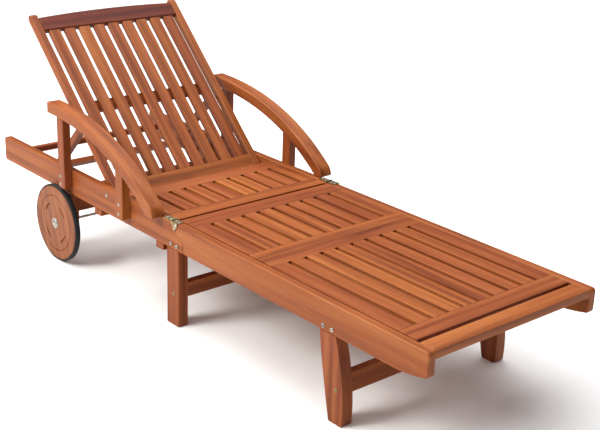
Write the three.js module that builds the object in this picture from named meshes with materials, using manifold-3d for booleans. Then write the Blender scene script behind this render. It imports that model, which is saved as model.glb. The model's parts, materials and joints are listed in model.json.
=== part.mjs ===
// Reclining wooden sun lounger: a wheeled rear frame with armrests and a propped backrest, hinged to a
// foot frame that carries a two-part leg rest. Millimetres, +Z up, +Y towards the head, and left (-X) is
// the left of someone at the foot end who looks towards the head. The origin is on the floor under the
// middle of the lounger.
import * as THREE from "three";
import { mergeVertices } from "three/addons/utils/BufferGeometryUtils.js";
import Module from "manifold-3d";

const wasm = await Module();
wasm.setup();

// ---------------------------------------------------------------- driving dimensions
const GAP = 0.3; // glue line or rubbing clearance between touching pieces

// Side rails, shared by both frames
const LENGTH = 2000;
const RAIL_OUTER_X = 304;
const RAIL_THICK = 24;
const RAIL_TOP = 318;
const RAIL_HEIGHT = 81;
const RAIL_CORNER = 12;
const TOE_RISE = 13; // lift of the rail's lower edge at the foot end
const TOE_LENGTH = 110;

// Stepped joint between the two frames
const JOINT_Y = 8;
const JOINT_GAP = 1.4;
const JOINT_SHOULDER = { drop: 22, run: 6, above: 6, below: 1 }; // eased corner below the upright stretch
const JOINT_LIP = { reach: 58, height: 22, run: 8, rise: 11 }; // lower lip of the foot rail's end

// Slatted panels
const SLAT_THICK = 18;
const OUTER_BOARD = 49.5; // the board along each long edge
const SLOT_WIDTH = 15;
const SLOT_COUNT = 9;
const PANEL_SIDE_CLEARANCE = 4;
const SEAT_FRONT_BOARD = 52;
const SEAT_REAR_BOARD = 56;
const SEAT_REAR_Y = 276;

// Leg rest
const THIGH_REAR_BOARD = 74;
const KNEE_BOARD = 49;
const KNEE_GAP = 0.8;
const KNEE_Y = -361;
const CALF_FOOT_BOARD = 60;
const CALF_TO_FOOT_BOARD = 12;

// Legs and stretchers
const LEG_THICK = 35;
const LEG_LAP = 23; // height of the thin tongue behind the rail
const LAP_CLEARANCE = 3;
const MID_LEG_Y = 0.5;
const MID_LEG_WIDTH = 57;
const FOOT_CHAMFER = 6;
const STRETCHER_THICK = 24;
const MID_STRETCHER = { y: -26, z0: 89, z1: 134 };
// Front leg and its stretcher, by distance from the foot end; the bends also give their height
const FRONT_LEG = { top: [306, 365], foot: [272, 320], frontBend: [263, 110], rearBend: [354, 149] };
const FRONT_STRETCHER = { y: 288, z0: 78, z1: 134 };

// Cross rails
const CROSS_THICK = 24;
const CROSS_RISE = 3; // cross rail's lower edge above the side rail's
const HINGE_RAIL_WIDTH = 50;
const KNEE_RAIL_GAP = 39; // from the knee line to the knee cross rail
const FOOT_BOARD_WIDTH = 53;
const FOOT_BOARD_THICK = 22;
const LEDGER = { width: 21, fromFootEnd: 75, fromKnee: 29 };
const LEDGER_NOTCH = { pitch: 45, depth: 8, length: 26, count: 4, fromFootEnd: 100 };
const UNDER_BAR_WIDTH = 38;
const UNDER_BAR_THICK = 20;
const UNDER_BAR_Y = [46, 383];

// Armrests
const ARM_OVERHANG = 36; // outside the rail's outer face
const ARM_WIDTH = 46;
const ARM_THICK = 35;
const ARM_REAR_Y = 630;
const ARM_FRONT_Y = 66;
const ARM_TIP_Y = 50;
const ARM_RISE = { rear: 212, front: 33 }; // above the rail top
const ARM_BEND_Y = 285;
const ARM_STEPS = 24;
const POST_THICK = 27;
const POST_WIDTH = 36.5;
const WHEEL_TO_POST = 6; // from the top of the wheel up to the posts' lower ends
const POSTS = { front: 236.5, rear: 570 };

// Wheels
const WHEEL_Y = 622;
const WHEEL_RADIUS = 127;
const TYRE_THICK = 5;
const WHEEL_WIDTH = 20;
const WHEEL_RAIL_GAP = 7;
const AXLE_RADIUS = 4;
const AXLE_CLEARANCE = 0.4;
const RING_GROOVE = { radius: 92, width: 4, depth: 2 };
const CRESCENT = { radius: 64, halfAngle: 0.36, tip: 0.45, outward: 4.05, inward: 1.8, depth: 3, count: 4 };
const CRESCENT_STEPS = 8;
const AXLE_BRACKET = { width: 44, belowAxle: 20, belowRailTop: 38 };
const AXLE_BEAM = { aheadOfAxle: 22, aboveAxle: 31, belowRail: 1 };

// Backrest, in its own plane: s along the stiles from the pivot, n towards the sitter
const BACK_PIVOT = { y: 352, belowRailTop: 22 };
const BACK_ANGLE = 43.2;
const STILE_THICK = 24;
const STILE_DEPTH = 26;
const STILE_SIDE_CLEARANCE = 2;
const STILE_TAIL = 12; // straight length below the pivot, before the rounded end
const STILE_TOP = 668;
const TOP_RAIL = { s0: 600, s1: 651, crown: 8, n0: -9, n1: 13 };
const BOTTOM_RAIL = { s0: -24, s1: 26, n0: -9, n1: 13 };
const BACK_SLAT = { count: 9, width: 37, n0: -4, n1: 11 };
const BATTEN = { s0: 293, s1: 330, thick: 19, endClearance: 9 };

// Backrest prop and its racks
const PROP_PIVOT = { s: 269, n: -24 };
const PROP_ANGLE = 89; // from the stiles' direction, turned backwards
const PROP_LENGTH = 275;
const PROP_ARM = { inset: 4, thick: 22, width: 22 };
const PROP_BAR = { width: 26, thick: 17, endRadius: 8, endClearance: 7.7 };
const RACK = { fromBracket: 2, fromPivot: 573, belowPivot: 41.8, height: 17.2, width: 18 };
const RACK_NOTCH = { pitch: 36.75, depth: 7, length: 22, count: 5, fromPivot: 317.6 };
const HEAD_CROSS_RAIL = { fromRack: 7, belowRailTop: 35.5, height: 20.5, thick: 20 };

// Fold hinges on top of the rails
const HINGE = { axisRise: 3, barrel: 2.9, plate: 2, rearLength: 38, frontLength: 30, clearance: 0.4 };
const HINGE_TAB = { drop: 26, frontDrop: 7, rearDrop: 9, tipInset: 14, rearInset: 5 };

// ---------------------------------------------------------------- derived sizes
const RAIL_INNER_X = RAIL_OUTER_X - RAIL_THICK;
const RAIL_BOTTOM = RAIL_TOP - RAIL_HEIGHT;
const HALF_LENGTH = LENGTH / 2;
const PANEL_BOTTOM = RAIL_TOP - SLAT_THICK + GAP;
const PANEL_HALF_WIDTH = RAIL_INNER_X - PANEL_SIDE_CLEARANCE;
const BETWEEN_RAILS = RAIL_INNER_X - GAP;
const LEG_INNER_X = RAIL_OUTER_X - LEG_THICK;
const STILE_OUTER_X = RAIL_INNER_X - STILE_SIDE_CLEARANCE;
const STILE_INNER_X = STILE_OUTER_X - STILE_THICK;
const SUPPORT_TOP = PANEL_BOTTOM - GAP;
const NOSE_RADIUS = (RAIL_TOP - PANEL_BOTTOM) / 2;
const THIGH_PIVOT_Y = JOINT_Y - PANEL_SIDE_CLEARANCE + 1 - NOSE_RADIUS;
const WHEEL_INNER_X = RAIL_OUTER_X + WHEEL_RAIL_GAP;
const WHEEL_OUTER_X = WHEEL_INNER_X + WHEEL_WIDTH;
const SLOT_PITCH = (2 * (PANEL_HALF_WIDTH - OUTER_BOARD) - SLOT_WIDTH) / (SLOT_COUNT - 1);
const FOOT_END = -HALF_LENGTH;
const CALF_END_Y = FOOT_END + FOOT_BOARD_WIDTH + CALF_TO_FOOT_BOARD;
const LEG_LAP_TOP = RAIL_BOTTOM + LEG_LAP;
const OVER_LAP = LEG_LAP_TOP + LAP_CLEARANCE;
const CROSS_BOTTOM = RAIL_BOTTOM + CROSS_RISE;
const ARM_OUTER_X = RAIL_OUTER_X + ARM_OVERHANG;
const ARM_TOP = RAIL_TOP + ARM_RISE.rear;
const ARM_FRONT_TOP = RAIL_TOP + ARM_RISE.front;
const POST_BOTTOM = 2 * WHEEL_RADIUS + WHEEL_TO_POST;
const BACK_PIVOT_Z = RAIL_TOP - BACK_PIVOT.belowRailTop;
const BACK_SLAT_PITCH = (2 * STILE_INNER_X + BACK_SLAT.width) / (BACK_SLAT.count + 1);
const PROP_OUTER_X = STILE_INNER_X - PROP_ARM.inset;
const PROP_INNER_X = PROP_OUTER_X - PROP_ARM.thick;
const RACK_END_Y = BACK_PIVOT.y + RACK.fromPivot;
const SIDES = [
  ["left", -1],
  ["right", 1],
];

// ---------------------------------------------------------------- materials
const oiledWood = () => new THREE.MeshStandardMaterial({ color: 0xb5683a, roughness: 0.55, metalness: 0 });
const darkWood = () => new THREE.MeshStandardMaterial({ color: 0x7a3420, roughness: 0.5, metalness: 0 });
const zincSteel = () => new THREE.MeshStandardMaterial({ color: 0xb9b2a2, roughness: 0.35, metalness: 1 });
const brassPlate = () => new THREE.MeshStandardMaterial({ color: 0xb7a06a, roughness: 0.35, metalness: 1 });
const blackRubber = () => new THREE.MeshStandardMaterial({ color: 0x1b1b1c, roughness: 0.85, metalness: 0 });

// ---------------------------------------------------------------- shape helpers
const SIDE_VIEW = new THREE.Matrix4().makeBasis(
  new THREE.Vector3(0, 1, 0),
  new THREE.Vector3(0, 0, 1),
  new THREE.Vector3(1, 0, 0),
);

function addMesh(group, name, geometry, material) {
  const mesh = new THREE.Mesh(geometry, material);
  mesh.name = name;
  group.add(mesh);
  return mesh;
}

function boxBetween([x0, x1], [y0, y1], [z0, z1]) {
  const geometry = new THREE.BoxGeometry(Math.abs(x1 - x0), Math.abs(y1 - y0), Math.abs(z1 - z0));
  return geometry.translate((x0 + x1) / 2, (y0 + y1) / 2, (z0 + z1) / 2);
}

// A side-view outline, given as (y, z), extruded from x0 to x1.
function sideBoard(shape, x0, x1, curveSegments = 6) {
  const low = Math.min(x0, x1);
  const depth = Math.abs(x1 - x0);
  const geometry = new THREE.ExtrudeGeometry(shape, { depth, bevelEnabled: false, curveSegments });
  return geometry.applyMatrix4(SIDE_VIEW).translate(low, 0, 0);
}

function outline(points) {
  return new THREE.Shape(points.map(([y, z]) => new THREE.Vector2(y, z)));
}

// A round bar along X between x0 and x1, centred on (y, z).
function roundBar(radius, x0, x1, y, z, segments = 24) {
  const geometry = new THREE.CylinderGeometry(radius, radius, Math.abs(x1 - x0), segments);
  return geometry.rotateZ(Math.PI / 2).translate((x0 + x1) / 2, y, z);
}

// A profile of [radius, x] points, turned about the X axis through (y, z).
function turned(profile, y, z, segments) {
  const points = profile.map(([radius, x]) => new THREE.Vector2(radius, x));
  const geometry = new THREE.LatheGeometry(points, segments);
  return geometry.rotateZ(-Math.PI / 2).translate(0, y, z);
}

// ---------------------------------------------------------------- joins and cuts
function toSolid(geometry) {
  const bare = geometry.index ? geometry.toNonIndexed() : geometry.clone();
  bare.deleteAttribute("normal");
  bare.deleteAttribute("uv");
  const merged = mergeVertices(bare, 1e-4);
  const triVerts = new Uint32Array(merged.index.array);
  const vertProperties = new Float32Array(merged.attributes.position.array);
  const mesh = new wasm.Mesh({ numProp: 3, vertProperties, triVerts });
  mesh.merge();
  return new wasm.Manifold(mesh);
}

function toGeometry(solid) {
  const mesh = solid.getMesh();
  const positions = new Float32Array(mesh.numVert * 3);
  for (let i = 0; i < mesh.numVert; i += 1) {
    const start = i * mesh.numProp;
    positions.set(mesh.vertProperties.subarray(start, start + 3), i * 3);
  }
  const geometry = new THREE.BufferGeometry();
  geometry.setAttribute("position", new THREE.BufferAttribute(positions, 3));
  geometry.setIndex(new THREE.BufferAttribute(new Uint32Array(mesh.triVerts), 1));
  const flat = geometry.toNonIndexed();
  flat.computeVertexNormals();
  return flat;
}

function cut(geometry, tools) {
  return toGeometry(tools.reduce((solid, tool) => solid.subtract(toSolid(tool)), toSolid(geometry)));
}

function join(first, ...others) {
  return toGeometry(others.reduce((solid, other) => solid.add(toSolid(other)), toSolid(first)));
}

// ---------------------------------------------------------------- side rails
// The stepped joint line from the rail's top to its bottom edge, moved along Y by shift.
function jointLine(shift) {
  const y = JOINT_Y + shift;
  const { drop, run, above, below } = JOINT_SHOULDER;
  const shoulder = RAIL_TOP - drop;
  const lipEnd = y - JOINT_LIP.reach;
  const lipTop = RAIL_BOTTOM + JOINT_LIP.height;
  return [
    [y, RAIL_TOP],
    [y, shoulder + above],
    [y - run, shoulder - below],
    [lipEnd + JOINT_LIP.run, lipTop + JOINT_LIP.rise],
    [lipEnd, lipTop],
    [lipEnd, RAIL_BOTTOM],
  ];
}

function rearRailShape() {
  const shape = new THREE.Shape();
  const [start, ...rest] = jointLine(0);
  shape.moveTo(...start);
  rest.forEach((point) => shape.lineTo(...point));
  shape.lineTo(HALF_LENGTH - RAIL_CORNER, RAIL_BOTTOM);
  shape.quadraticCurveTo(HALF_LENGTH, RAIL_BOTTOM, HALF_LENGTH, RAIL_BOTTOM + RAIL_CORNER);
  shape.lineTo(HALF_LENGTH, RAIL_TOP - RAIL_CORNER);
  shape.quadraticCurveTo(HALF_LENGTH, RAIL_TOP, HALF_LENGTH - RAIL_CORNER, RAIL_TOP);
  return shape;
}

function footRailShape() {
  const toe = FOOT_END;
  const toeBottom = RAIL_BOTTOM + TOE_RISE;
  const shape = new THREE.Shape();
  const [start, ...rest] = jointLine(-JOINT_GAP).reverse();
  shape.moveTo(...start);
  rest.forEach((point) => shape.lineTo(...point));
  shape.lineTo(toe + RAIL_CORNER, RAIL_TOP);
  shape.quadraticCurveTo(toe, RAIL_TOP, toe, RAIL_TOP - RAIL_CORNER);
  shape.lineTo(toe, toeBottom + RAIL_CORNER);
  shape.quadraticCurveTo(toe, toeBottom, toe + RAIL_CORNER, toeBottom);
  shape.quadraticCurveTo(toe + TOE_LENGTH / 2, RAIL_BOTTOM + 1, toe + TOE_LENGTH, RAIL_BOTTOM);
  return shape;
}

function addRails(rear, foot) {
  for (const [side, sign] of SIDES) {
    const span = [sign * RAIL_INNER_X, sign * RAIL_OUTER_X];
    addMesh(rear, `rear_rail_${side}`, sideBoard(rearRailShape(), ...span), oiledWood());
    addMesh(foot, `foot_rail_${side}`, sideBoard(footRailShape(), ...span), oiledWood());
  }
}

// ---------------------------------------------------------------- cross rails
function crossRail(group, name, halfLength, y0, y1, z0, z1) {
  return addMesh(group, name, boxBetween([-halfLength, halfLength], [y0, y1], [z0, z1]), oiledWood());
}

function addRearCrossRails(rear) {
  const frontY = JOINT_Y + JOINT_GAP;
  const lapClear = LEG_INNER_X - GAP;
  crossRail(rear, "seat_front_rail", lapClear, frontY, frontY + CROSS_THICK, CROSS_BOTTOM, SUPPORT_TOP);
  const rearY = SEAT_REAR_Y;
  crossRail(rear, "seat_rear_rail", BETWEEN_RAILS, rearY - CROSS_THICK, rearY, CROSS_BOTTOM, SUPPORT_TOP);
  const head = HEAD_CROSS_RAIL;
  const headY = RACK_END_Y + head.fromRack;
  const headTop = RAIL_TOP - head.belowRailTop;
  const headBottom = headTop - head.height;
  crossRail(rear, "head_cross_rail", BETWEEN_RAILS, headY, headY + head.thick, headBottom, headTop);
  const barTop = RAIL_BOTTOM - GAP;
  ["front", "rear"].forEach((place, i) => {
    const y0 = UNDER_BAR_Y[i];
    const name = `under_bar_${place}`;
    crossRail(rear, name, RAIL_OUTER_X, y0, y0 + UNDER_BAR_WIDTH, barTop - UNDER_BAR_THICK, barTop);
  });
}

function addFootCrossRails(foot) {
  const hingeRailFront = JOINT_Y - JOINT_GAP - HINGE_RAIL_WIDTH;
  const hingeRailRear = JOINT_Y - JOINT_GAP - 2;
  const half = BETWEEN_RAILS;
  crossRail(foot, "hinge_cross_rail", half, hingeRailFront, hingeRailRear, OVER_LAP, SUPPORT_TOP);
  const kneeY = KNEE_Y + KNEE_RAIL_GAP;
  crossRail(foot, "knee_cross_rail", half, kneeY, kneeY + CROSS_THICK, CROSS_BOTTOM, SUPPORT_TOP);
  const boardEnd = FOOT_END + FOOT_BOARD_WIDTH;
  crossRail(foot, "foot_board", half, FOOT_END, boardEnd, RAIL_TOP - FOOT_BOARD_THICK, RAIL_TOP);
}

// A lengthwise support strip from y0 to y1 whose top edge has saw-tooth notches. Each notch is upright
// on the side that takes the thrust: the head side (1) or the foot side (-1).
function notchedStrip([y0, y1], bottom, top, notch, firstNotch, thrustSide) {
  const points = [
    [y0, bottom],
    [y1, bottom],
    [y1, top],
  ];
  for (let i = notch.count - 1; i >= 0; i -= 1) {
    const footEnd = firstNotch + i * notch.pitch;
    const headEnd = footEnd + notch.length;
    const deepest = thrustSide > 0 ? headEnd : footEnd;
    points.push([headEnd, top], [deepest, top - notch.depth], [footEnd, top]);
  }
  points.push([y0, top]);
  return outline(points);
}

function addSupportStrips(rear, foot) {
  const ledgerSpan = [FOOT_END + LEDGER.fromFootEnd, KNEE_Y - LEDGER.fromKnee];
  const ledgerNotch = FOOT_END + LEDGER_NOTCH.fromFootEnd;
  const ledger = notchedStrip(ledgerSpan, OVER_LAP, SUPPORT_TOP, LEDGER_NOTCH, ledgerNotch, -1);
  const rackStart = WHEEL_Y + AXLE_BRACKET.width / 2 + RACK.fromBracket;
  const rackTop = BACK_PIVOT_Z - RACK.belowPivot;
  const rackNotch = BACK_PIVOT.y + RACK_NOTCH.fromPivot;
  const rackSpan = [rackStart, RACK_END_Y];
  const rack = notchedStrip(rackSpan, rackTop - RACK.height, rackTop, RACK_NOTCH, rackNotch, 1);
  for (const [side, sign] of SIDES) {
    const outer = sign * BETWEEN_RAILS;
    const ledgerStrip = sideBoard(ledger, outer - sign * LEDGER.width, outer);
    addMesh(foot, `leg_rest_ledger_${side}`, ledgerStrip, oiledWood());
    addMesh(rear, `prop_rack_${side}`, sideBoard(rack, outer - sign * RACK.width, outer), oiledWood());
  }
}

// ---------------------------------------------------------------- slatted panels
// A board frame with lengthwise slots between its two end boards, lying in the plane of the rail tops.
function slattedPanel(y0, y1, frontBoard, rearBoard) {
  const board = boxBetween([-PANEL_HALF_WIDTH, PANEL_HALF_WIDTH], [y0, y1], [PANEL_BOTTOM, RAIL_TOP]);
  const slots = [];
  for (let i = 0; i < SLOT_COUNT; i += 1) {
    const x = (i - (SLOT_COUNT - 1) / 2) * SLOT_PITCH;
    const across = [x - SLOT_WIDTH / 2, x + SLOT_WIDTH / 2];
    slots.push(boxBetween(across, [y0 + frontBoard, y1 - rearBoard], [PANEL_BOTTOM - 1, RAIL_TOP + 1]));
  }
  return cut(board, slots);
}

function addSeatPanel(rear) {
  const front = JOINT_Y + JOINT_GAP;
  const panel = slattedPanel(front, SEAT_REAR_Y, SEAT_FRONT_BOARD, SEAT_REAR_BOARD);
  addMesh(rear, "seat_panel", panel, oiledWood());
}

// The thigh panel turns on its rounded rear edge; the calf panel hangs on the knee hinges under both.
function addLegRest(thigh, calf) {
  const rearBoard = THIGH_REAR_BOARD - NOSE_RADIUS;
  const board = slattedPanel(KNEE_Y + KNEE_GAP / 2, THIGH_PIVOT_Y, KNEE_BOARD, rearBoard);
  const noseZ = RAIL_TOP - NOSE_RADIUS;
  const nose = roundBar(NOSE_RADIUS, -PANEL_HALF_WIDTH, PANEL_HALF_WIDTH, THIGH_PIVOT_Y, noseZ, 32);
  addMesh(thigh, "thigh_panel", join(board, nose), oiledWood());
  const calfPanel = slattedPanel(CALF_END_Y, KNEE_Y - KNEE_GAP / 2, CALF_FOOT_BOARD, KNEE_BOARD);
  addMesh(calf, "calf_panel", calfPanel, oiledWood());
}

// ---------------------------------------------------------------- legs
// A leg seen from the side, with a thin tongue that laps behind the rail.
function lappedLeg(shape, lapShape, sign) {
  const inner = sign * LEG_INNER_X;
  const body = sideBoard(shape, inner, sign * RAIL_OUTER_X, 10);
  const tongue = sideBoard(lapShape, inner, sign * BETWEEN_RAILS);
  return join(body, tongue);
}

function rectangle(y0, y1, z0, z1) {
  return outline([
    [y0, z0],
    [y1, z0],
    [y1, z1],
    [y0, z1],
  ]);
}

function frontLegShape() {
  const top = RAIL_BOTTOM - GAP;
  const [frontTop, rearTop] = FRONT_LEG.top.map((y) => FOOT_END + y);
  const [frontFoot, rearFoot] = FRONT_LEG.foot.map((y) => FOOT_END + y);
  const [frontBend, rearBend] = [FRONT_LEG.frontBend, FRONT_LEG.rearBend].map(([y, z]) => [FOOT_END + y, z]);
  const bevel = FOOT_CHAMFER / 2;
  const shape = new THREE.Shape();
  shape.moveTo(frontTop, top);
  shape.quadraticCurveTo(...frontBend, frontFoot, bevel);
  shape.lineTo(frontFoot + FOOT_CHAMFER, 0);
  shape.lineTo(rearFoot - bevel, 0);
  shape.lineTo(rearFoot, bevel);
  shape.quadraticCurveTo(...rearBend, rearTop, top);
  return shape;
}

function addLegs(rear, foot) {
  const top = RAIL_BOTTOM - GAP;
  const y0 = MID_LEG_Y - MID_LEG_WIDTH / 2;
  const y1 = MID_LEG_Y + MID_LEG_WIDTH / 2;
  const midShape = rectangle(y0, y1, 0, top);
  const midLap = rectangle(y0, y1, top - 1, LEG_LAP_TOP);
  const [frontTop, rearTop] = FRONT_LEG.top;
  const frontLap = rectangle(FOOT_END + frontTop, FOOT_END + rearTop, top - 1, LEG_LAP_TOP);
  for (const [side, sign] of SIDES) {
    addMesh(rear, `mid_leg_${side}`, lappedLeg(midShape, midLap, sign), oiledWood());
    addMesh(foot, `front_leg_${side}`, lappedLeg(frontLegShape(), frontLap, sign), oiledWood());
  }
  const halfLength = LEG_INNER_X - GAP;
  const mid = MID_STRETCHER;
  crossRail(rear, "mid_stretcher", halfLength, mid.y, mid.y + STRETCHER_THICK, mid.z0, mid.z1);
  const front = FRONT_STRETCHER;
  const frontY = FOOT_END + front.y;
  crossRail(foot, "front_stretcher", halfLength, frontY, frontY + STRETCHER_THICK, front.z0, front.z1);
}

// ---------------------------------------------------------------- armrests
const armTopCurve = new THREE.QuadraticBezierCurve(
  new THREE.Vector2(ARM_REAR_Y, ARM_TOP),
  new THREE.Vector2(ARM_BEND_Y, ARM_TOP),
  new THREE.Vector2(ARM_FRONT_Y, ARM_FRONT_TOP),
);

// The armrest's top edge and its underside, from rear to front, as parallel curves.
function armEdges() {
  const top = armTopCurve.getPoints(ARM_STEPS);
  const under = top.map((point, i) => {
    const tangent = armTopCurve.getTangent(i / ARM_STEPS);
    return new THREE.Vector2(point.x - tangent.y * ARM_THICK, point.y + tangent.x * ARM_THICK);
  });
  return { top, under };
}

function undersideZ(y) {
  const { under } = armEdges();
  const i = under.findIndex((point) => point.x < y);
  const [a, b] = [under[i - 1], under[i]];
  return a.y + ((b.y - a.y) * (y - a.x)) / (b.x - a.x);
}

function armShape() {
  const seat = RAIL_TOP + GAP;
  const { top, under } = armEdges();
  const above = under.filter((point) => point.y > seat);
  const last = above[above.length - 1];
  const slope = armTopCurve.getTangent(1);
  const touchdown = last.x + (slope.x / slope.y) * (seat - last.y);
  const tip = new THREE.QuadraticBezierCurve(
    top[ARM_STEPS],
    new THREE.Vector2(ARM_TIP_Y, ARM_FRONT_TOP - (ARM_FRONT_Y - ARM_TIP_Y) * (slope.y / slope.x)),
    new THREE.Vector2(ARM_TIP_Y, seat),
  );
  const rounded = tip.getPoints(5).slice(1);
  const points = [...top, ...rounded].map((p) => [p.x, p.y]);
  points.push([touchdown, seat]);
  return outline([...points, ...above.reverse().map((p) => [p.x, p.y])].reverse());
}

function postShape(centreY) {
  const y0 = centreY - POST_WIDTH / 2;
  const y1 = centreY + POST_WIDTH / 2;
  return outline([
    [y0, POST_BOTTOM],
    [y1, POST_BOTTOM],
    [y1, undersideZ(y1) - GAP],
    [y0, undersideZ(y0) - GAP],
  ]);
}

function addArmrests(rear) {
  const postInner = RAIL_OUTER_X + GAP;
  for (const [side, sign] of SIDES) {
    const arm = sideBoard(armShape(), sign * (ARM_OUTER_X - ARM_WIDTH), sign * ARM_OUTER_X);
    addMesh(rear, `armrest_${side}`, arm, oiledWood());
    for (const [place, y] of Object.entries(POSTS)) {
      const post = sideBoard(postShape(y), sign * postInner, sign * (postInner + POST_THICK));
      addMesh(rear, `arm_post_${place}_${side}`, post, oiledWood());
    }
  }
}

// ---------------------------------------------------------------- wheels
function wheelDisc() {
  const rim = WHEEL_RADIUS - TYRE_THICK - GAP;
  const bore = AXLE_RADIUS + AXLE_CLEARANCE;
  const { radius, width, depth } = RING_GROOVE;
  const half = WHEEL_WIDTH / 2;
  const profile = [
    [bore, -half],
    [rim - 2, -half],
    [rim, -half + 2],
    [rim, half - 2],
    [rim - 2, half],
    [radius + width / 2, half],
    [radius, half - depth],
    [radius - width / 2, half],
    [bore, half],
    [bore, -half],
  ];
  return turned(profile, 0, 0, 48);
}

// A lens-shaped pocket around the disc's axis, centred at the given angle.
function crescentCutter(angle) {
  const { radius, halfAngle, tip, outward, inward, depth } = CRESCENT;
  const steps = [...Array(CRESCENT_STEPS + 1).keys()];
  const edge = (away, swell) =>
    steps.map((i) => {
      const along = i / CRESCENT_STEPS;
      const turn = angle + halfAngle * (2 * along - 1);
      const r = radius + away * (tip + swell * Math.sin(Math.PI * along));
      return [r * Math.cos(turn), r * Math.sin(turn)];
    });
  const options = { depth: depth + 1, bevelEnabled: false };
  const points = [...edge(-1, inward), ...edge(1, outward).reverse()];
  const geometry = new THREE.ExtrudeGeometry(outline(points), options);
  return geometry.applyMatrix4(SIDE_VIEW).translate(WHEEL_WIDTH / 2 - depth, 0, 0);
}

function tyreRing() {
  const inner = WHEEL_RADIUS - TYRE_THICK;
  const half = WHEEL_WIDTH / 2;
  const profile = [
    [inner, -half + 1],
    [WHEEL_RADIUS - 1.5, -half + 1],
    [WHEEL_RADIUS, -half + 4],
    [WHEEL_RADIUS, half - 4],
    [WHEEL_RADIUS - 1.5, half - 1],
    [inner, half - 1],
    [inner, -half + 1],
  ];
  return turned(profile, 0, 0, 64);
}

function addWheels(rear) {
  const centreX = (WHEEL_INNER_X + WHEEL_OUTER_X) / 2;
  const cutters = [];
  for (let i = 0; i < CRESCENT.count; i += 1) {
    cutters.push(crescentCutter(((i + 0.5) * 2 * Math.PI) / CRESCENT.count));
  }
  const disc = cut(wheelDisc(), cutters);
  for (const [side, sign] of SIDES) {
    const wheel = new THREE.Group();
    wheel.position.set(sign * centreX, WHEEL_Y, WHEEL_RADIUS);
    wheel.rotation.z = sign > 0 ? 0 : Math.PI;
    addMesh(wheel, `wheel_${side}`, disc.clone(), oiledWood());
    addMesh(wheel, `tyre_${side}`, tyreRing(), blackRubber());
    rear.add(wheel);
  }
}

// The axle with its inner spacers, outer washers and domed cap nuts, turned as one piece.
function axleProfile() {
  const washer = WHEEL_OUTER_X + 0.5;
  const spacer = [RAIL_INNER_X + GAP, WHEEL_INNER_X - 0.5];
  const half = [
    [AXLE_RADIUS, spacer[0]],
    [10, spacer[0]],
    [10, spacer[1]],
    [AXLE_RADIUS, spacer[1]],
    [AXLE_RADIUS, washer],
    [18, washer],
    [18, washer + 1.5],
    [11, washer + 1.5],
    [10, washer + 4.5],
    [6, washer + 6.5],
    [0, washer + 7],
  ];
  const mirrored = half.map(([radius, x]) => [radius, -x]).reverse();
  return [...mirrored, ...half];
}

function addAxle(rear) {
  addMesh(rear, "axle", turned(axleProfile(), WHEEL_Y, WHEEL_RADIUS, 24), zincSteel());
  const { width, belowAxle, belowRailTop } = AXLE_BRACKET;
  const along = [WHEEL_Y - width / 2, WHEEL_Y + width / 2];
  const upright = [WHEEL_RADIUS - belowAxle, RAIL_TOP - belowRailTop];
  const bore = AXLE_RADIUS + AXLE_CLEARANCE;
  const hole = roundBar(bore, -RAIL_OUTER_X, RAIL_OUTER_X, WHEEL_Y, WHEEL_RADIUS);
  for (const [side, sign] of SIDES) {
    const span = [sign * (BETWEEN_RAILS - CROSS_THICK), sign * BETWEEN_RAILS];
    const board = cut(boxBetween(span, along, upright), [hole]);
    addMesh(rear, `axle_bracket_${side}`, board, oiledWood());
  }
  const beamY = WHEEL_Y - AXLE_BEAM.aheadOfAxle;
  const beamZ = [WHEEL_RADIUS + AXLE_BEAM.aboveAxle, RAIL_BOTTOM - AXLE_BEAM.belowRail];
  const halfLength = BETWEEN_RAILS - CROSS_THICK - GAP;
  crossRail(rear, "axle_beam", halfLength, beamY, beamY + STRETCHER_THICK, ...beamZ);
}

// ---------------------------------------------------------------- backrest
function stileShape() {
  const r = STILE_DEPTH / 2;
  const shape = new THREE.Shape();
  shape.moveTo(-STILE_TAIL, r);
  shape.absarc(-STILE_TAIL, 0, r, Math.PI / 2, (3 * Math.PI) / 2, false);
  shape.lineTo(STILE_TOP - r, -r);
  shape.absarc(STILE_TOP - r, 0, r, -Math.PI / 2, Math.PI / 2, false);
  return shape;
}

function topRailShape(halfLength) {
  const { s0, s1, crown } = TOP_RAIL;
  const shape = new THREE.Shape();
  shape.moveTo(-halfLength, s0).lineTo(halfLength, s0).lineTo(halfLength, s1);
  shape.quadraticCurveTo(0, s1 + 2 * crown, -halfLength, s1);
  return shape;
}

function addBackrest(back) {
  for (const [side, sign] of SIDES) {
    const stile = sideBoard(stileShape(), sign * STILE_INNER_X, sign * STILE_OUTER_X, 8);
    addMesh(back, `back_stile_${side}`, stile, oiledWood());
  }
  const inside = STILE_INNER_X - GAP;
  const top = TOP_RAIL;
  const options = { depth: top.n1 - top.n0, bevelEnabled: false, curveSegments: 16 };
  const rail = new THREE.ExtrudeGeometry(topRailShape(inside), options).translate(0, 0, top.n0);
  addMesh(back, "back_top_rail", rail, darkWood());
  const low = BOTTOM_RAIL;
  crossRail(back, "back_bottom_rail", inside, low.s0, low.s1, low.n0, low.n1);
  const slat = BACK_SLAT;
  for (let i = 0; i < slat.count; i += 1) {
    const x = (i - (slat.count - 1) / 2) * BACK_SLAT_PITCH;
    const width = [x - slat.width / 2, x + slat.width / 2];
    const board = boxBetween(width, [low.s1 + GAP, top.s0 - GAP], [slat.n0, slat.n1]);
    addMesh(back, `back_slat_${i + 1}`, board, oiledWood());
  }
  const { s0, s1, thick, endClearance } = BATTEN;
  crossRail(back, "back_batten", PROP_INNER_X - endClearance, s0, s1, slat.n0 - GAP - thick, slat.n0 - GAP);
}

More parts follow.
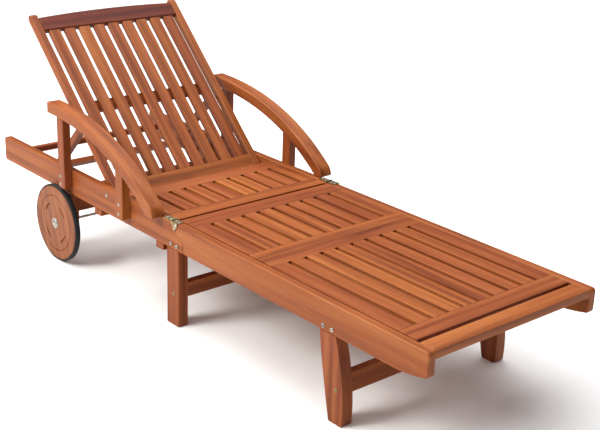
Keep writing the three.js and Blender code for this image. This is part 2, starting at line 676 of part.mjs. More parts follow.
// The prop: two arms, and a bar between them. Its round ends pass through the arms and drop into the racks.
function addProp(prop) {
  const { endRadius, endClearance } = PROP_BAR;
  const r = PROP_ARM.width / 2;
  const shape = new THREE.Shape();
  shape.moveTo(0, r);
  shape.absarc(0, 0, r, Math.PI / 2, (3 * Math.PI) / 2, false);
  shape.lineTo(PROP_LENGTH, -r);
  shape.absarc(PROP_LENGTH, 0, r, -Math.PI / 2, Math.PI / 2, false);
  const hole = roundBar(endRadius + GAP, -STILE_INNER_X, STILE_INNER_X, PROP_LENGTH, 0);
  for (const [side, sign] of SIDES) {
    const arm = sideBoard(shape, sign * PROP_INNER_X, sign * PROP_OUTER_X, 8);
    addMesh(prop, `prop_arm_${side}`, cut(arm, [hole]), oiledWood());
  }
  const endX = RAIL_INNER_X - endClearance;
  const between = [GAP - PROP_INNER_X, PROP_INNER_X - GAP];
  const along = [PROP_LENGTH - PROP_BAR.width / 2, PROP_LENGTH + PROP_BAR.width / 2];
  const board = boxBetween(between, along, [-PROP_BAR.thick / 2, PROP_BAR.thick / 2]);
  addMesh(prop, "prop_bar", join(board, roundBar(endRadius, -endX, endX, PROP_LENGTH, 0)), oiledWood());
}

// ---------------------------------------------------------------- fold hinges
// The rear plate carries the barrel; the front plate wraps over the rail's top and outer side.
function addFoldHinges(rear, foot) {
  const { axisRise, barrel, plate, rearLength, frontLength, clearance } = HINGE;
  const { drop, frontDrop, rearDrop, tipInset, rearInset } = HINGE_TAB;
  const z0 = RAIL_TOP + GAP;
  const rearEdge = JOINT_Y - barrel - clearance;
  const frontEdge = rearEdge - frontLength;
  for (const [side, sign] of SIDES) {
    const span = [sign * (RAIL_INNER_X + 2), sign * (RAIL_OUTER_X - 1)];
    const leaf = boxBetween(span, [JOINT_Y, JOINT_Y + rearLength], [z0, z0 + plate]);
    const knuckle = roundBar(barrel, ...span, JOINT_Y, RAIL_TOP + axisRise + GAP, 16);
    addMesh(rear, `fold_hinge_rear_${side}`, join(leaf, knuckle), brassPlate());
    const outer = [sign * (RAIL_OUTER_X + GAP), sign * (RAIL_OUTER_X + GAP + plate)];
    const cover = boxBetween([span[0], outer[1]], [frontEdge, rearEdge], [z0, z0 + plate]);
    const tab = outline([
      [frontEdge, z0 + plate / 2],
      [frontEdge, RAIL_TOP - frontDrop],
      [frontEdge + tipInset, RAIL_TOP - drop],
      [rearEdge - rearInset, RAIL_TOP - rearDrop],
      [rearEdge, z0 + plate / 2],
    ]);
    addMesh(foot, `fold_hinge_front_${side}`, join(cover, sideBoard(tab, ...outer)), brassPlate());
  }
}

// ---------------------------------------------------------------- assembly
const lounger = new THREE.Group();
const rearFrame = new THREE.Group();
const footFrame = new THREE.Group();
const thigh = new THREE.Group();
const calf = new THREE.Group();
const backrest = new THREE.Group();
const prop = new THREE.Group();

backrest.position.set(0, BACK_PIVOT.y, BACK_PIVOT_Z);
backrest.rotation.x = THREE.MathUtils.degToRad(BACK_ANGLE);
prop.position.set(0, PROP_PIVOT.s, PROP_PIVOT.n);
prop.rotation.x = -THREE.MathUtils.degToRad(PROP_ANGLE);

lounger.add(rearFrame, footFrame);
footFrame.add(thigh);
thigh.add(calf);
rearFrame.add(backrest);
backrest.add(prop);

addRails(rearFrame, footFrame);
addRearCrossRails(rearFrame);
addFootCrossRails(footFrame);
addSupportStrips(rearFrame, footFrame);
addSeatPanel(rearFrame);
addLegRest(thigh, calf);
addLegs(rearFrame, footFrame);
addArmrests(rearFrame);
addWheels(rearFrame);
addAxle(rearFrame);
addBackrest(backrest);
addProp(prop);
addFoldHinges(rearFrame, footFrame);

export default lounger;
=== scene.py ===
import json
import math
import random

import bmesh
import bpy
from mathutils import Matrix, Vector


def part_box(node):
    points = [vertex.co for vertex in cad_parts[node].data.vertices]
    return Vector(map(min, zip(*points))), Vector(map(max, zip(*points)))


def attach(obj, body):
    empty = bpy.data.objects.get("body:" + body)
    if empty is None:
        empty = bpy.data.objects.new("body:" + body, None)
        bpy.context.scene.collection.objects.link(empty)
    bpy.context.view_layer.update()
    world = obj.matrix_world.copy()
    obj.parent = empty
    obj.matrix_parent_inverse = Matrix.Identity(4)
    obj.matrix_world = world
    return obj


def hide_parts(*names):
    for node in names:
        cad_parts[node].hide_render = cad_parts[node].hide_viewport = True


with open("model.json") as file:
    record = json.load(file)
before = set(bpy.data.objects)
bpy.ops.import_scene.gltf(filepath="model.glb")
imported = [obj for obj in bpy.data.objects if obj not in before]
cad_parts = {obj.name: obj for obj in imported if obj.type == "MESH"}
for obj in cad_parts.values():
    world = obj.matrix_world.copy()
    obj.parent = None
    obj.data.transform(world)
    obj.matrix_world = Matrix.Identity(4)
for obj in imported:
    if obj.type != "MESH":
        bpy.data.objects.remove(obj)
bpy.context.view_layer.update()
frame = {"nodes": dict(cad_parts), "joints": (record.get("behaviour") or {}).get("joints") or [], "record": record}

# ---------------------------------------------------------------- sizes, in metres
SLOT_PITCH = 0.05475
SLOT_WIDTH = 0.015
SLOT_COUNT = 9
SEAT_BOARDS = (0.052, 0.056)
THIGH_BOARDS = (0.049, 0.074)
CALF_BOARDS = (0.060, 0.049)
HAIRLINE = 0.0004
BACK_ANGLE = math.radians(43.2)
PROP_ANGLE = math.radians(45.8)
ARM_CHORD = math.radians(17.7)
GRAIN_LEAN = (0, 0.35, 0.94)
USUAL_BEVEL = 0.0018

# Where bolt and screw heads sit on the outer faces of rails and posts, as (y, z)
RAIL_BOLTS = ((0.008, 0.251), (-0.020, 0.249))
BACK_BOLT_TO_PIVOT = -0.005
POST_SCREWS = ((0.574, 0.300), (0.576, 0.273), (0.237, 0.304), (0.238, 0.274))
MID_LEG_BOLT = (-0.006, 0.100)
FOOT_RAIL_BOLTS = ((-0.647, 0.250), (-0.679, 0.250))
FRONT_LEG_BOLT = (-0.703, 0.094)

# The (radius, height) of each kind of head
RAIL_HEAD = (0.0062, 0.0032)
POST_HEAD = (0.0052, 0.0026)
LEG_HEAD = (0.0058, 0.002)
HINGE_HEAD = (0.0036, 0.0012)
KNEE_HEAD = (0.003, 0.0009)

# The fold hinge's screws: along the plates from their ends, and as (along, down) on the side tab
HINGE_PLATE = 0.002
REAR_SCREWS = (0.008, 0.024)
FRONT_SCREWS = (0.007, 0.021)
TAB_SCREWS = ((0.007, 0.008), (0.013, 0.019))

# The two knee hinges under the leg rest
KNEE_HINGE_X = 0.19
KNEE_HALF = 0.02
KNEE_LEAF = {"start": 0.003, "end": 0.028, "top": 0.0002, "bottom": 0.002}
KNEE_SCREW_X = 0.012
KNEE_PIN = {"radius": 0.0024, "chamfer": 0.0002, "end_chamfer": 0.0004}

TYRE = {"wall": 0.005, "shoulder": 0.0035, "crown": 0.001}

CAMERA_AT = (-2.0947, -2.6086, 1.5326)
CAMERA_YAW, CAMERA_PITCH, CAMERA_ROLL = 0.715, -0.359, 0.035
CAMERA_LENS = 71.93
FLOOR_REACH = 30

X = Vector((1, 0, 0))
Y = Vector((0, 1, 0))
Z = Vector((0, 0, 1))
SLOPE = Vector((0, math.cos(BACK_ANGLE), math.sin(BACK_ANGLE)))
PROP_SLOPE = Vector((0, math.cos(PROP_ANGLE), -math.sin(PROP_ANGLE)))
ARM_SLOPE = Vector((0, math.cos(ARM_CHORD), math.sin(ARM_CHORD)))

JOINTS = {joint["name"]: joint for joint in frame["joints"]}
BODY_OF = {n: body for body, ns in frame["record"]["behaviour"]["bodies"].items() for n in ns}
SLOT_OF = {part["node"]: part["material_slot"] for part in frame["record"]["subparts"]}
SIDES = (("left", -1), ("right", 1))


# ---------------------------------------------------------------- materials
class Tree:
    """A new material's node tree, with short calls for making and linking nodes."""

    def __init__(self, name):
        self.material = bpy.data.materials.new(name)
        self.material.use_nodes = True
        self.tree = self.material.node_tree
        self.shader = self.tree.nodes["Principled BSDF"]

    def node(self, kind, **settings):
        made = self.tree.nodes.new(kind)
        for key, value in settings.items():
            setattr(made, key, value)
        return made

    def link(self, source, target):
        self.tree.links.new(source, target)

    def set(self, node, **values):
        for key, value in values.items():
            node.inputs[key.replace("_", " ")].default_value = value

    def mapped(self, source, scale):
        mapping = self.node("ShaderNodeMapping")
        mapping.inputs["Scale"].default_value = scale
        self.link(source, mapping.inputs["Vector"])
        return mapping.outputs["Vector"]

    def noise(self, vector, detail=3.0, roughness=0.5, distortion=0.0, scale=1.0):
        noise = self.node("ShaderNodeTexNoise")
        self.set(noise, Scale=scale, Detail=detail, Roughness=roughness, Distortion=distortion)
        self.link(vector, noise.inputs["Vector"])
        return noise.outputs["Fac"]

    def remap(self, value, low, high, to_low, to_high):
        remap = self.node("ShaderNodeMapRange")
        self.set(remap, From_Min=low, From_Max=high, To_Min=to_low, To_Max=to_high)
        self.link(value, remap.inputs["Value"])
        return remap.outputs["Result"]

    def math(self, operation, first, second):
        made = self.node("ShaderNodeMath", operation=operation)
        for socket, value in zip(made.inputs, (first, second)):
            if isinstance(value, (int, float)):
                socket.default_value = value
            else:
                self.link(value, socket)
        return made.outputs[0]

    def ramp(self, value, stops):
        ramp = self.node("ShaderNodeValToRGB")
        elements = ramp.color_ramp.elements
        while len(elements) < len(stops):
            elements.new(0.5)
        for element, (position, colour) in zip(elements, stops):
            element.position = position
            element.color = (*colour, 1)
        self.link(value, ramp.inputs["Fac"])
        return ramp.outputs["Color"]

    def multiply(self, colour, factor):
        mix = self.node("ShaderNodeMix", data_type="RGBA", blend_type="MULTIPLY")
        mix.inputs["Factor"].default_value = 1.0
        self.link(colour, mix.inputs["A"])
        self.link(factor, mix.inputs["B"])
        return mix.outputs["Result"]

    def bump(self, height, strength, distance):
        bump = self.node("ShaderNodeBump")
        self.set(bump, Strength=strength, Distance=distance)
        self.link(height, bump.inputs["Height"])
        self.link(bump.outputs["Normal"], self.shader.inputs["Normal"])


def oiled_wood(name, dark, mid, light, roughness):
    """Straight-grained oiled hardwood, drawn in each board's own coordinates, with x along the grain."""
    t = Tree(name)
    grain = t.node("ShaderNodeAttribute", attribute_name="grain").outputs["Vector"]
    tone = t.node("ShaderNodeAttribute", attribute_name="tone").outputs["Fac"]
    figure = t.noise(t.mapped(grain, (1.6, 24, 24)), detail=5, roughness=0.55, distortion=0.5)
    streaks = t.noise(t.mapped(grain, (5, 170, 170)), detail=4, roughness=0.6)
    fibres = t.noise(t.mapped(grain, (28, 1100, 1100)), detail=2)
    bands = t.node("ShaderNodeTexWave", wave_type="RINGS", rings_direction="X")
    t.set(bands, Scale=1.0, Distortion=5.0, Detail=3.0, Detail_Scale=1.2)
    t.link(t.mapped(grain, (0.35, 9, 9)), bands.inputs["Vector"])
    rings = t.math("MULTIPLY", bands.outputs["Fac"], 0.14)
    body = t.math("ADD", t.math("MULTIPLY", figure, 0.62), rings)
    body = t.math("ADD", body, t.math("MULTIPLY", streaks, 0.34))
    colour = t.ramp(body, ((0.34, dark), (0.56, mid), (0.78, light)))
    pores = t.remap(fibres, 0.28, 0.46, 0.72, 1.0)
    shade = t.math("MULTIPLY", pores, t.remap(tone, 0, 1, 0.76, 1.18))
    colour = t.multiply(colour, shade)
    hue = t.node("ShaderNodeHueSaturation")
    t.link(colour, hue.inputs["Color"])
    t.link(t.remap(tone, 0, 1, 0.494, 0.507), hue.inputs["Hue"])
    t.link(hue.outputs["Color"], t.shader.inputs["Base Color"])
    rough = t.remap(streaks, 0.3, 0.7, roughness - 0.07, roughness + 0.09)
    t.link(rough, t.shader.inputs["Roughness"])
    height = t.math("ADD", t.math("MULTIPLY", streaks, 0.5), t.math("MULTIPLY", pores, 0.8))
    t.bump(height, 0.35, 0.0004)
    t.set(t.shader, Specular_IOR_Level=0.2)
    return t.material


def plated_metal(name, colour, roughness, tarnish):
    """Plated steel with a faint brushed direction and dull blotches."""
    t = Tree(name)
    place = t.node("ShaderNodeTexCoord").outputs["Object"]
    blotch = t.noise(place, detail=4, scale=90)
    brushed = t.noise(t.mapped(place, (60, 900, 900)), detail=2)
    t.link(t.ramp(blotch, ((0.3, tarnish), (0.62, colour))), t.shader.inputs["Base Color"])
    rough = t.remap(blotch, 0.3, 0.7, roughness + 0.14, roughness)
    t.link(rough, t.shader.inputs["Roughness"])
    t.set(t.shader, Metallic=1.0)
    t.bump(brushed, 0.12, 0.0002)
    return t.material


def black_rubber():
    """Dull black rubber with a fine grain and a little dust."""
    t = Tree("tyre rubber")
    place = t.node("ShaderNodeTexCoord").outputs["Object"]
    dust = t.noise(place, detail=5, scale=14)
    grain = t.noise(place, detail=2, scale=900)
    dusty = t.ramp(dust, ((0.35, (0.006, 0.0065, 0.007)), (0.75, (0.022, 0.023, 0.025))))
    t.link(dusty, t.shader.inputs["Base Color"])
    t.link(t.remap(dust, 0.3, 0.7, 0.5, 0.72), t.shader.inputs["Roughness"])
    t.set(t.shader, Specular_IOR_Level=0.25)
    t.bump(grain, 0.3, 0.0003)
    return t.material


def pale_floor():
    """A matt, nearly white floor with the faintest clouding."""
    t = Tree("pale floor")
    place = t.node("ShaderNodeTexCoord").outputs["Object"]
    cloud = t.noise(place, detail=3, scale=0.8)
    clouded = t.ramp(cloud, ((0.3, (0.90, 0.90, 0.895)), (0.7, (0.92, 0.92, 0.915))))
    t.link(clouded, t.shader.inputs["Base Color"])
    t.set(t.shader, Roughness=0.85, Specular_IOR_Level=0.1)
    return t.material


# The darkest, middle and lightest colour of each wood, and its mean roughness
WOOD_LOOKS = {
    "oiled hardwood": ((0.145, 0.029, 0.0065), (0.285, 0.070, 0.016), (0.39, 0.118, 0.032), 0.46),
    "dark hardwood": ((0.07, 0.010, 0.004), (0.14, 0.022, 0.009), (0.20, 0.040, 0.015), 0.46),
    "wheel hardwood": ((0.17, 0.046, 0.014), (0.27, 0.080, 0.025), (0.36, 0.125, 0.043), 0.46),
    # The edge colours of the boards are lighter than their woods: a painted highlight along the rounded edges
    "highlit edge": ((0.18, 0.040, 0.010), (0.33, 0.090, 0.024), (0.43, 0.145, 0.045), 0.5),
    "dark highlit edge": ((0.08, 0.016, 0.006), (0.16, 0.035, 0.013), (0.23, 0.060, 0.024), 0.5),
    # The wheel's edge colour is darker than its face: painted shade along its rim, ring and crescents
    "wheel shaded edge": ((0.11, 0.026, 0.008), (0.20, 0.055, 0.018), (0.30, 0.10, 0.036), 0.52),
}
LOOKS = {name: oiled_wood(name, *look) for name, look in WOOD_LOOKS.items()}

# Each wooden slot's materials: its faces, then its bevelled edges, which carry a painted highlight (painted shade
# on the wheels)
WOOD = {
    "oiled_hardwood": (LOOKS["oiled hardwood"], LOOKS["highlit edge"]),
    "dark_hardwood": (LOOKS["dark hardwood"], LOOKS["dark highlit edge"]),
    "wheel_hardwood": (LOOKS["wheel hardwood"], LOOKS["wheel shaded edge"]),
}
METAL = {
    "hinge_brass": plated_metal("brass plate", (0.36, 0.28, 0.15), 0.34, (0.16, 0.115, 0.06)),
    "axle_steel": plated_metal("zinc steel", (0.50, 0.46, 0.40), 0.32, (0.25, 0.22, 0.18)),
}
RUBBER = black_rubber()


# ---------------------------------------------------------------- shared making
def random_of(name):
    """The seeded random numbers of one node or piece."""
    return random.Random("lounger " + name)


def across_of(along):
    """A direction at right angles to the grain."""
    return (X if abs(along.x) < 0.9 else Y).cross(along).normalized()


def lay_grain(verts, layers, along, chance, tone=None):
    """Gives one board's vertices their place in its own grain, far from every other board's."""
    grain, shade = layers
    across = across_of(along)
    third = along.cross(across)
    shift = Vector([chance.uniform(-20, 20) for _ in range(3)])
    value = chance.uniform(0.15, 0.85) if tone is None else tone
    for vert in verts:
        vert[grain] = Vector((vert.co.dot(along), vert.co.dot(across), vert.co.dot(third))) + shift
        vert[shade] = value


def grain_layers(bm):
    """The vertex layers that the wood material reads."""
    return bm.verts.layers.float_vector.new("grain"), bm.verts.layers.float.new("tone")


def piece(name, bm, materials, body, replaced=(), smooth_angle=50):
    """Turns a bmesh into a piece that rides on its body; edges above the angle stay sharp."""
    mesh = bpy.data.meshes.new(name)
    bmesh.ops.recalc_face_normals(bm, faces=bm.faces)
    for face in bm.faces:
        face.smooth = True
    bm.to_mesh(mesh)
    bm.free()
    mesh.set_sharp_from_angle(angle=math.radians(smooth_angle))
    obj = bpy.data.objects.new(name, mesh)
    bpy.context.scene.collection.objects.link(obj)
    for material in materials:
        mesh.materials.append(material)
    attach(obj, body)
    if replaced:
        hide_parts(*replaced)
    return obj


def weigh_normals(obj):
    """Keeps large faces flat beside their rounded edges."""
    normals = obj.modifiers.new("Normals", "WEIGHTED_NORMAL")
    normals.keep_sharp = True
    normals.weight = 80


def add_board(bm, layers, low, high, along, chance, bevel=0.0015):
    """A board between two corners with softened edges; its bevels take the edge material, which on wood paints a
    highlight along the edges.
    """
    before = set(bm.verts)
    size = Vector(high) - Vector(low)
    centre = (Vector(high) + Vector(low)) / 2
    place = Matrix.Translation(centre) @ Matrix.Diagonal(size.to_4d())
    made = bmesh.ops.create_cube(bm, size=1, matrix=place)
    edges = list({edge for vert in made["verts"] for edge in vert.link_edges})
    bmesh.ops.bevel(
        bm,
        geom=edges,
        offset=bevel,
        offset_type="OFFSET",
        segments=2,
        profile=0.5,
        affect="EDGES",
        material=1,
    )
    verts = [vert for vert in bm.verts if vert not in before]
    lay_grain(verts, layers, along, chance)


def turn(bm, profile, place, segments):
    """Adds a profile of (radius, height) points turned about its local Z axis. It starts and ends on
    the axis, or closes on itself."""
    rings = []
    for radius, height in profile:
        count = segments if radius > 1e-7 else 1
        angles = [2 * math.pi * i / segments for i in range(count)]
        points = [place @ Vector((radius * math.cos(a), radius * math.sin(a), height)) for a in angles]
        rings.append([bm.verts.new(point) for point in points])
    if profile[0] == profile[-1]:
        for vert in rings[-1]:
            bm.verts.remove(vert)
        rings[-1] = rings[0]
    for low, high in zip(rings, rings[1:]):
        for i in range(segments):
            j = (i + 1) % segments
            corners = [low[i % len(low)], low[j % len(low)], high[j % len(high)], high[i % len(high)]]
            bm.faces.new(list(dict.fromkeys(corners)))


def facing(centre, normal):
    """A frame at a point, with its Z axis along a direction."""
    return Matrix.Translation(centre) @ Vector(normal).to_track_quat("Z", "Y").to_matrix().to_4x4()


def copy_of(node):
    """A CAD node's mesh as a bmesh, with its flat faces joined up again."""
    bm = bmesh.new()
    bm.from_mesh(frame["nodes"][node].data)
    bmesh.ops.remove_doubles(bm, verts=bm.verts, dist=1e-6)
    bmesh.ops.dissolve_limit(bm, angle_limit=math.radians(0.2), verts=bm.verts, edges=bm.edges)
    for face in bm.faces:
        face.material_index = 0
    return bm


def soften(obj, width, sharper_than):
    """Rounds every edge that turns by more than an angle in degrees."""
    rounding = obj.modifiers.new("Softened edges", "BEVEL")
    rounding.width = width
    rounding.segments = 2
    rounding.limit_method = "ANGLE"
    rounding.angle_limit = math.radians(sharper_than)
    weigh_normals(obj)
    return rounding


# ---------------------------------------------------------------- boards carried over from the CAD
def grain_of(node):
    """The direction that the grain runs in: a board's long way."""
    low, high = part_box(node)
    size = high - low
    if node.startswith("armrest"):
        return ARM_SLOPE
    if node.startswith("prop_arm"):
        return PROP_SLOPE
    if BODY_OF[node] == "backrest" and size.x < 0.2:
        return SLOPE
    if node.startswith("wheel"):
        return Vector(GRAIN_LEAN).normalized()
    return (X, Y, Z)[max(range(3), key=lambda axis: size[axis])]


def refine(node, bevel, tone=None):
    """Copies a wooden CAD node, softens its edges and gives it its own grain."""
    bm = copy_of(node)
    lay_grain(bm.verts, grain_layers(bm), grain_of(node), random_of(node), tone)
    slot = SLOT_OF[node]
    obj = piece(node + "_wood", bm, WOOD[slot], BODY_OF[node], (node,))
    # The rounded edges take the edge material: a painted highlight on boards, painted shade on the wheels
    soften(obj, bevel, 32).material = 1


BEVELS = {
    "rear_rail": 0.003,
    "foot_rail": 0.003,
    "armrest": 0.0032,
    "arm_post": 0.002,
    "front_leg": 0.003,
    "mid_leg": 0.003,
    "back_top_rail": 0.004,
    "back_stile": 0.003,
    "wheel": 0.0008,
    "prop_rack": 0.001,
    "leg_rest_ledger": 0.001,
    "axle_bracket": 0.0015,
}
TONES = {"armrest": 0.62, "back_top_rail": 0.45, "rear_rail": 0.6, "foot_rail": 0.6, "wheel": 0.5}


def by_family(table, node, usual):
    """The table's value for the first name that the node's own name starts with."""
    return next((value for family, value in table.items() if node.startswith(family)), usual)


def make_boards():
    """Every board that keeps its CAD shape."""
    panels = ("seat_panel", "thigh_panel", "calf_panel")
    for node, slot in SLOT_OF.items():
        if slot in WOOD and node not in panels:
            refine(node, by_family(BEVELS, node, USUAL_BEVEL), by_family(TONES, node, None))


# ---------------------------------------------------------------- slatted panels
def slatted_panel(node, boards, nose=False):
    """Rebuilds a joined panel as its separate boards: one across each end and the slats between them."""
    low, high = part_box(node)
    front, rear = low.y + boards[0], high.y - boards[1]
    bm = bmesh.new()
    layers = grain_layers(bm)
    chance = random_of(node)
    back_edge = high.y - (high.z - low.z) / 2 if nose else high.y
    add_board(bm, layers, (low.x, low.y, low.z), (high.x, front, high.z), X, chance)
    add_board(bm, layers, (low.x, rear, low.z), (high.x, back_edge, high.z), X, chance)
    if nose:
        add_nose(bm, layers, low, high, chance)
    half = SLOT_WIDTH / 2
    slots = [(i - (SLOT_COUNT - 1) / 2) * SLOT_PITCH for i in range(SLOT_COUNT)]
    starts = [low.x] + [x + half for x in slots]
    ends = [x - half for x in slots] + [high.x]
    for start, end in zip(starts, ends):
        corner = (start, front + HAIRLINE, low.z)
        add_board(bm, layers, corner, (end, rear - HAIRLINE, high.z), Y, chance)
    slot = SLOT_OF[node]
    obj = piece(node + "_boards", bm, WOOD[slot], BODY_OF[node], (node,))
    weigh_normals(obj)


def add_nose(bm, layers, low, high, chance):
    """The half-round rear edge that the thigh panel turns on."""
    radius = (high.z - low.z) / 2
    before = set(bm.verts)
    centre = Vector((0, high.y - radius, low.z + radius))
    half = (high.x - low.x) / 2 - 0.0005
    profile = ((0, -half), (radius - 0.0004, -half), (radius - 0.0004, half), (0, half))
    turn(bm, profile, facing(centre, X), 40)
    lay_grain([vert for vert in bm.verts if vert not in before], layers, X, chance, 0.5)


# ---------------------------------------------------------------- metal and rubber
def refine_metal(node, bevel):
    """Copies a metal CAD node and softens its edges."""
    slot = SLOT_OF[node]
    obj = piece(node + "_metal", copy_of(node), (METAL[slot],), BODY_OF[node], (node,), 40)
    soften(obj, bevel, 40)


def make_tyre(side):
    """A solid tyre with rounded shoulders and a flat tread."""
    node = f"tyre_{side}"
    low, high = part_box(node)
    outer = (high.z - low.z) / 2
    inner = outer - TYRE["wall"]
    half = (high.x - low.x) / 2
    shoulder = (
        (inner, half),
        (outer - TYRE["shoulder"], half),
        (outer - TYRE["crown"], half * 0.86),
        (outer, half * 0.55),
    )
    near = [(radius, -height) for radius, height in shoulder]
    profile = [*near, *reversed(shoulder), near[0]]
    bm = bmesh.new()
    turn(bm, profile, facing((low + high) / 2, X), 128)
    piece(node + "_rubber", bm, (RUBBER,), BODY_OF[node], (node,), 60)


def bolt_profile(radius, height):
    """A domed head with a round driving recess."""
    return (
        (0, -0.001),
        (radius, -0.001),
        (radius, height * 0.3),
        (radius * 0.93, height * 0.62),
        (radius * 0.72, height * 0.9),
        (radius * 0.45, height),
        (radius * 0.38, height * 0.92),
        (radius * 0.34, height * 0.45),
        (0, height * 0.4),
    )


def add_heads(name, body, slot, places, head):
    """One piece with a domed head at each (centre, normal)."""
    bm = bmesh.new()
    for centre, normal in places:
        turn(bm, bolt_profile(*head), facing(centre, normal), 24)
    piece(name, bm, (METAL[slot],), body, smooth_angle=45)


def make_heads():
    """Every bolt and screw head that shows, on both sides."""
    pivot = Vector(JOINTS["back_recline"]["pos_m"])
    back_bolt = (pivot.y + BACK_BOLT_TO_PIVOT, pivot.z)
    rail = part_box("rear_rail_right")[1].x
    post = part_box("arm_post_front_right")[1].x
    rows = (
        ("rail_bolts", "rear_frame", "axle_steel", rail, (*RAIL_BOLTS, back_bolt), RAIL_HEAD),
        ("post_screws", "rear_frame", "axle_steel", post, POST_SCREWS, POST_HEAD),
        ("mid_leg_bolt", "rear_frame", "hinge_brass", rail, (MID_LEG_BOLT,), LEG_HEAD),
        ("foot_rail_bolts", "foot_frame", "axle_steel", rail, FOOT_RAIL_BOLTS, RAIL_HEAD),
        ("front_leg_bolt", "foot_frame", "hinge_brass", rail, (FRONT_LEG_BOLT,), LEG_HEAD),
    )
    for side, sign in SIDES:
        for name, body, slot, face, spots, head in rows:
            places = [(Vector((sign * face, y, z)), X * sign) for y, z in spots]
            add_heads(f"{name}_{side}", body, slot, places, head)
        add_hinge_screws(side, sign)


def add_hinge_screws(side, sign):
    """Countersunk screws on the fold hinge's two plates and on its side tab."""
    rear_low, rear_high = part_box(f"fold_hinge_rear_{side}")
    low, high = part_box(f"fold_hinge_front_{side}")
    middle = sign * (abs(rear_low.x) + abs(rear_high.x)) / 2
    outer = sign * max(abs(low.x), abs(high.x))
    plate_top = rear_low.z + HINGE_PLATE
    rear = [(Vector((middle, rear_high.y - d, plate_top)), Z) for d in REAR_SCREWS]
    top = [(Vector((middle, low.y + d, plate_top)), Z) for d in FRONT_SCREWS]
    tab = [(Vector((outer, low.y + d, high.z - drop)), X * sign) for d, drop in TAB_SCREWS]
    add_heads(f"hinge_screws_rear_{side}", "rear_frame", "axle_steel", rear, HINGE_HEAD)
    add_heads(f"hinge_screws_front_{side}", "foot_frame", "axle_steel", top + tab, HINGE_HEAD)


def add_knee_leaf(name, body, x, knee, direction):
    """One leaf of a knee hinge, with two screws, to one side of the knee."""
    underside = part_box("thigh_panel")[0].z
    ends = (knee.y + direction * KNEE_LEAF["start"], knee.y + direction * KNEE_LEAF["end"])
    low = (x - KNEE_HALF, min(ends), underside - KNEE_LEAF["bottom"])
    high = (x + KNEE_HALF, max(ends), underside - KNEE_LEAF["top"])
    bm = bmesh.new()
    add_board(bm, grain_layers(bm), low, high, X, random_of("leaf"), 0.0004)
    for dx in (-KNEE_SCREW_X, KNEE_SCREW_X):
        spot = Vector((x + dx, sum(ends) / 2, underside - KNEE_LEAF["bottom"]))
        turn(bm, bolt_profile(*KNEE_HEAD), facing(spot, -Z), 16)
    brass = METAL["hinge_brass"]
    piece(name, bm, (brass, brass), body, smooth_angle=40)


def add_knee_pin(name, x, knee):
    """A knee hinge's pin, on the joint's axis."""
    radius, half = KNEE_PIN["radius"], KNEE_HALF
    end_radius = radius - KNEE_PIN["chamfer"]
    shoulder = half - KNEE_PIN["end_chamfer"]
    tip = ((radius, shoulder), (end_radius, half), (0, half))
    profile = [(r, -height) for r, height in reversed(tip)] + list(tip)
    bm = bmesh.new()
    turn(bm, profile, facing(Vector((x, knee.y, knee.z)), X), 20)
    piece(name, bm, (METAL["hinge_brass"],), "thigh", smooth_angle=40)


def make_knee_hinges():
    """Leaf hinges under the joint between the thigh and calf panels."""
    knee = Vector(JOINTS["knee"]["pos_m"])
    for number, x in enumerate((-KNEE_HINGE_X, KNEE_HINGE_X), 1):
        for body, direction in (("thigh", 1), ("calf", -1)):
            add_knee_leaf(f"knee_hinge_{body}_{number}", body, x, knee, direction)
        add_knee_pin(f"knee_hinge_pin_{number}", x, knee)


def make_metalwork():
    """The axle, hinges, tyres and every head."""
    refine_metal("axle", 0.0005)
    for side, _ in SIDES:
        refine_metal(f"fold_hinge_rear_{side}", 0.0004)
        refine_metal(f"fold_hinge_front_{side}", 0.0005)
        make_tyre(side)
    make_heads()
    make_knee_hinges()


# ---------------------------------------------------------------- studio
def make_floor():
    """A large flat square under the lounger."""
    mesh = bpy.data.meshes.new("floor")
    corners = [(x * FLOOR_REACH, y * FLOOR_REACH, 0) for x, y in ((-1, -1), (1, -1), (1, 1), (-1, 1))]
    mesh.from_pydata(corners, [], [(0, 1, 2, 3)])
    mesh.materials.append(pale_floor())
    floor = bpy.data.objects.new("floor", mesh)
    bpy.context.scene.collection.objects.link(floor)


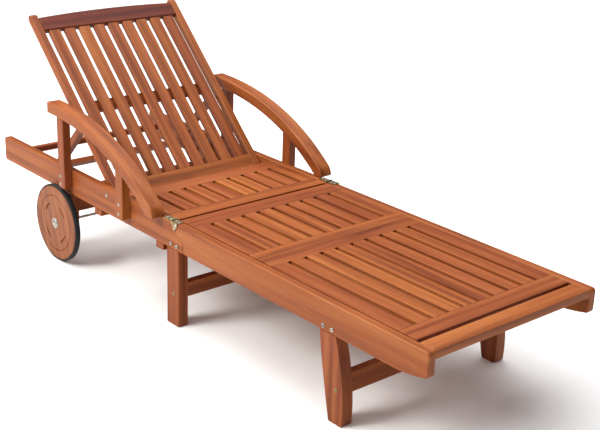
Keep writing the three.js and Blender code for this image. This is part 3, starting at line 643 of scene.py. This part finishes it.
def add_light(name, position, target, size, power, colour=(1, 1, 1)):
    """A round area light that looks at a target."""
    light = bpy.data.lights.new(name, "AREA")
    light.shape = "DISK"
    light.size = size
    light.energy = power
    light.color = colour
    lamp = bpy.data.objects.new(name, light)
    lamp.location = position
    aim = Vector(target) - Vector(position)
    lamp.rotation_euler = aim.to_track_quat("-Z", "Y").to_euler()
    bpy.context.scene.collection.objects.link(lamp)


def make_lights():
    """A key light from the left, a weak fill, and a wide soft light from above."""
    add_light("key", (-3.4, 0.9, 3.2), (0, 0, 0.3), 2.0, 175, (1.0, 0.98, 0.95))
    add_light("fill", (-1.2, -4.6, 2.4), (0, -0.2, 0.3), 3.0, 6, (0.97, 0.98, 1.0))
    add_light("overhead", (0.5, 2.5, 7.5), (0.5, 2.5, 0), 12.0, 1300)
    world = bpy.data.worlds.new("studio")
    world.use_nodes = True
    background = world.node_tree.nodes["Background"]
    background.inputs["Color"].default_value = (0.96, 0.97, 1.0, 1)
    background.inputs["Strength"].default_value = 0.09
    bpy.context.scene.world = world
    bpy.context.scene.view_settings.view_transform = "Standard"


def make_camera():
    """The camera, level but for a slight roll, looking down along the lounger from its foot end."""
    camera = bpy.data.cameras.new("camera")
    camera.lens = CAMERA_LENS
    camera.sensor_width = 36
    camera.sensor_fit = "HORIZONTAL"
    camera.clip_end = 200
    obj = bpy.data.objects.new("camera", camera)
    level = math.cos(CAMERA_PITCH)
    forward = Vector(
        (math.sin(CAMERA_YAW) * level, math.cos(CAMERA_YAW) * level, math.sin(CAMERA_PITCH))
    )
    right = forward.cross(Z).normalized()
    up = right.cross(forward)
    across = math.cos(CAMERA_ROLL) * right + math.sin(CAMERA_ROLL) * up
    upward = math.cos(CAMERA_ROLL) * up - math.sin(CAMERA_ROLL) * right
    turned = Matrix((across, upward, -forward)).transposed().to_4x4()
    obj.matrix_world = Matrix.Translation(CAMERA_AT) @ turned
    bpy.context.scene.collection.objects.link(obj)
    bpy.context.scene.camera = obj


make_boards()
slatted_panel("seat_panel", SEAT_BOARDS)
slatted_panel("thigh_panel", THIGH_BOARDS, nose=True)
slatted_panel("calf_panel", CALF_BOARDS)
make_metalwork()
make_floor()
make_lights()
make_camera()

bpy.context.view_layer.update()
